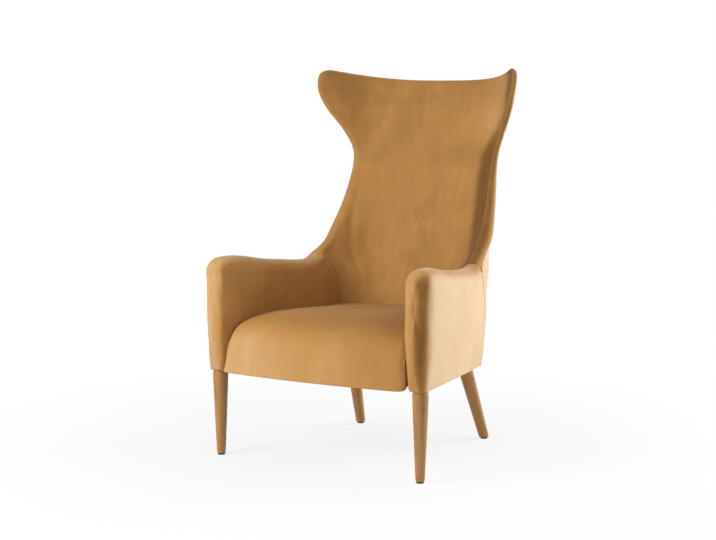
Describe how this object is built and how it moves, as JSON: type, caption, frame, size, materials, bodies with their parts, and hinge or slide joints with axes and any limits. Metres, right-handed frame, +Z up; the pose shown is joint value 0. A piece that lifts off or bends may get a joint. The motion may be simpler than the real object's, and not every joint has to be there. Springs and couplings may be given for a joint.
{
  "type": "fireside wing chair",
  "caption": "Tall velvet fireside chair: hollowed back that narrows to a waist and flares into wings, rounded arms that run down into tapered wooden legs, tight seat.",
  "frame": {"origin": "middle of the chair's footprint on the floor", "axes": "+X towards the sitter's left, +Y towards the back of the chair, +Z up"},
  "size_m": [0.733, 0.8286, 1.117],
  "materials": {
    "velvet": "camel velvet with a short nap",
    "arm_velvet": "camel velvet with a short nap",
    "foam": "cut polyurethane foam",
    "frame_wood": "sawn beech",
    "leg_wood": "satin lacquered oak",
    "board": "bent hardboard",
    "webbing": "woven elastic webbing",
    "dust_felt": "black non-woven cloth",
    "zinc": "bright zinc plate",
    "glide": "dark moulded plastic"
  },
  "bodies": {
    "root": {"arm_pad_left": "foam", "arm_pad_right": "foam", "arm_cover_left": "arm_velvet", "arm_cover_right": "arm_velvet", "arm_front_post_left": "frame_wood", "arm_front_post_right": "frame_wood", "arm_top_rail_left": "frame_wood", "arm_top_rail_right": "frame_wood", "arm_bottom_rail_left": "frame_wood", "arm_bottom_rail_right": "frame_wood", "arm_rear_post_left": "frame_wood", "arm_rear_post_right": "frame_wood", "outside_back_cover": "velvet", "outer_back_board": "board", "back_stile_left": "frame_wood", "back_stile_right": "frame_wood", "back_bottom_rail": "frame_wood", "back_lumbar_rail": "frame_wood", "back_top_rail": "frame_wood", "back_strap_1": "webbing", "back_strap_2": "webbing", "back_strap_3": "webbing", "back_strap_4": "webbing", "back_foam": "foam", "inside_back_cover": "velvet", "front_seat_rail": "frame_wood", "rear_seat_rail": "frame_wood", "side_seat_rail_left": "frame_wood", "side_seat_rail_right": "frame_wood", "corner_block_front_left": "frame_wood", "corner_block_front_right": "frame_wood", "corner_block_rear_left": "frame_wood", "corner_block_rear_right": "frame_wood", "seat_foam": "foam", "seat_cover": "velvet", "front_leg_left": "leg_wood", "front_leg_right": "leg_wood", "rear_leg_left": "leg_wood", "rear_leg_right": "leg_wood", "front_glide_left": "glide", "front_glide_right": "glide", "rear_glide_left": "glide", "rear_glide_right": "glide", "front_leg_bolt_left": "zinc", "front_leg_bolt_right": "zinc", "rear_leg_bolt_left": "zinc", "rear_leg_bolt_right": "zinc", "front_leg_nut_left": "zinc", "front_leg_nut_right": "zinc", "rear_leg_nut_left": "zinc", "rear_leg_nut_right": "zinc", "seat_strap_long_1": "webbing", "seat_strap_long_2": "webbing", "seat_strap_long_3": "webbing", "seat_strap_long_4": "webbing", "seat_strap_long_5": "webbing", "seat_strap_cross_1": "webbing", "seat_strap_cross_2": "webbing", "seat_strap_cross_3": "webbing", "dust_cover": "dust_felt"}
  },
  "joints": []
}
